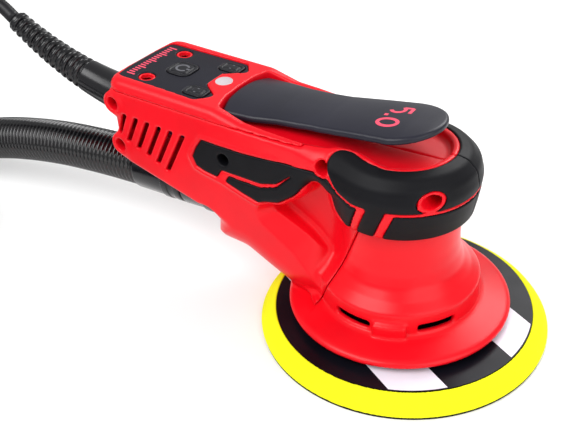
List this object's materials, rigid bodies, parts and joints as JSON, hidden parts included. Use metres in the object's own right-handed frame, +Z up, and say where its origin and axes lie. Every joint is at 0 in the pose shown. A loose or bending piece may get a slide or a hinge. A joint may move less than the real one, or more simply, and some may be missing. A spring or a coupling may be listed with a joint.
{
  "type": "dual action polisher",
  "caption": "Corded random orbit polisher with a round foam-backed pad, paddle lever, keypad, power cord and dust hose.",
  "frame": {"origin": "the motor's axis at the face of the pad, on the surface the pad rests on", "axes": "+X towards the nose, away from cord and hose; +Z up along the motor's axis"},
  "size_m": [0.701, 0.3964, 0.1462],
  "materials": {
    "red_shell": "satin moulded",
    "black_panel": "fine texture",
    "lever_plastic": "satin soft touch",
    "black_rubber": "soft matte",
    "button_rubber": "soft matte",
    "black_plastic": "moulded",
    "lens_clear": "polished",
    "foam_yellow": "closed cell foam",
    "hook_black": "hook fastener",
    "white_print": "print",
    "steel": "turned",
    "bearing_steel": "ground",
    "lamination": "laminated",
    "magnet": "nickel plated",
    "copper": "enamelled wire",
    "alloy": "die cast",
    "board_green": "solder mask",
    "capacitor_sleeve": "shrink sleeve",
    "switch_grey": "moulded",
    "fibre": "fibre",
    "hose_plastic": "corrugated satin",
    "cord_rubber": "smooth matte"
  },
  "bodies": {
    "housing": {"right_housing": "red_shell", "left_housing": "red_shell", "motor_housing": "red_shell", "control_cover": "red_shell", "control_panel": "black_panel", "panel_screws": "steel", "status_lens": "lens_clear", "head_grip_right": "black_rubber", "head_grip_left": "black_rubber", "lower_band_right": "black_rubber", "lower_band_left": "black_rubber", "finger_grip_right": "black_rubber", "finger_grip_left": "black_rubber", "housing_screws": "steel", "brake_ring": "black_rubber", "lever_pin": "steel", "hall_sensor": "board_green", "control_board": "board_green", "capacitors": "capacitor_sleeve", "heat_sink": "alloy", "keypad_board": "board_green", "tact_switches": "switch_grey", "cable_clamp": "black_plastic", "cable_boot": "black_rubber", "dust_port": "black_plastic", "hose_cuff": "black_plastic", "stator_core": "lamination", "stator_windings": "copper", "lower_end_shield": "alloy", "upper_end_shield": "alloy", "lower_bearing": "bearing_steel", "upper_bearing": "bearing_steel", "lever_spring": "steel", "power_cord": "cord_rubber", "cord_coil": "cord_rubber", "power_plug": "cord_rubber", "dust_hose": "hose_plastic", "hose_coil": "hose_plastic", "hose_end_fitting": "black_plastic"},
    "spindle": {"motor_shaft": "steel", "rotor_core": "lamination", "rotor_magnets": "magnet", "cooling_fan": "black_plastic", "eccentric_hub": "alloy", "counterweight": "steel", "pad_bearing_lower": "bearing_steel", "pad_bearing_upper": "bearing_steel"},
    "pad": {"pad_spindle": "steel", "spindle_retainer": "steel", "pad_washer": "fibre", "backing_plate": "black_plastic", "plate_stripes": "white_print", "pad_stud": "steel", "foam_pad": "foam_yellow", "hook_face": "hook_black"},
    "lever": {"paddle_lever": "lever_plastic", "lever_magnet": "magnet"},
    "power_key": {"power_button": "button_rubber"},
    "plus_key": {"plus_button": "button_rubber"},
    "minus_key": {"minus_button": "button_rubber"}
  },
  "joints": [
    {"name": "spindle_spin", "type": "hinge", "parent": "housing", "child": "spindle", "pos_m": [0, 0, 0], "axis": [0, 0, 1], "continuous": true},
    {"name": "pad_spin", "type": "hinge", "parent": "spindle", "child": "pad", "pos_m": [0.0025, 0, 0], "axis": [0, 0, 1], "continuous": true},
    {"name": "lever_press", "type": "hinge", "parent": "housing", "child": "lever", "pos_m": [-0.078, 0, 0.1025], "axis": [0, 1, 0], "range_deg": [0, 4], "stiffness_Nm_per_rad": 3, "springref_deg": -8.59, "deforming": ["lever_spring"]},
    {"name": "power_press", "type": "slide", "parent": "housing", "child": "power_key", "axis": [-0.0854, 0, -0.9963], "range_m": [0, 0.0008], "stiffness_N_per_m": 1500, "springref_m": -0.0004},
    {"name": "plus_press", "type": "slide", "parent": "housing", "child": "plus_key", "axis": [-0.0854, 0, -0.9963], "range_m": [0, 0.0008], "stiffness_N_per_m": 1500, "springref_m": -0.0004},
    {"name": "minus_press", "type": "slide", "parent": "housing", "child": "minus_key", "axis": [-0.0854, 0, -0.9963], "range_m": [0, 0.0008], "stiffness_N_per_m": 1500, "springref_m": -0.0004}
  ]
}
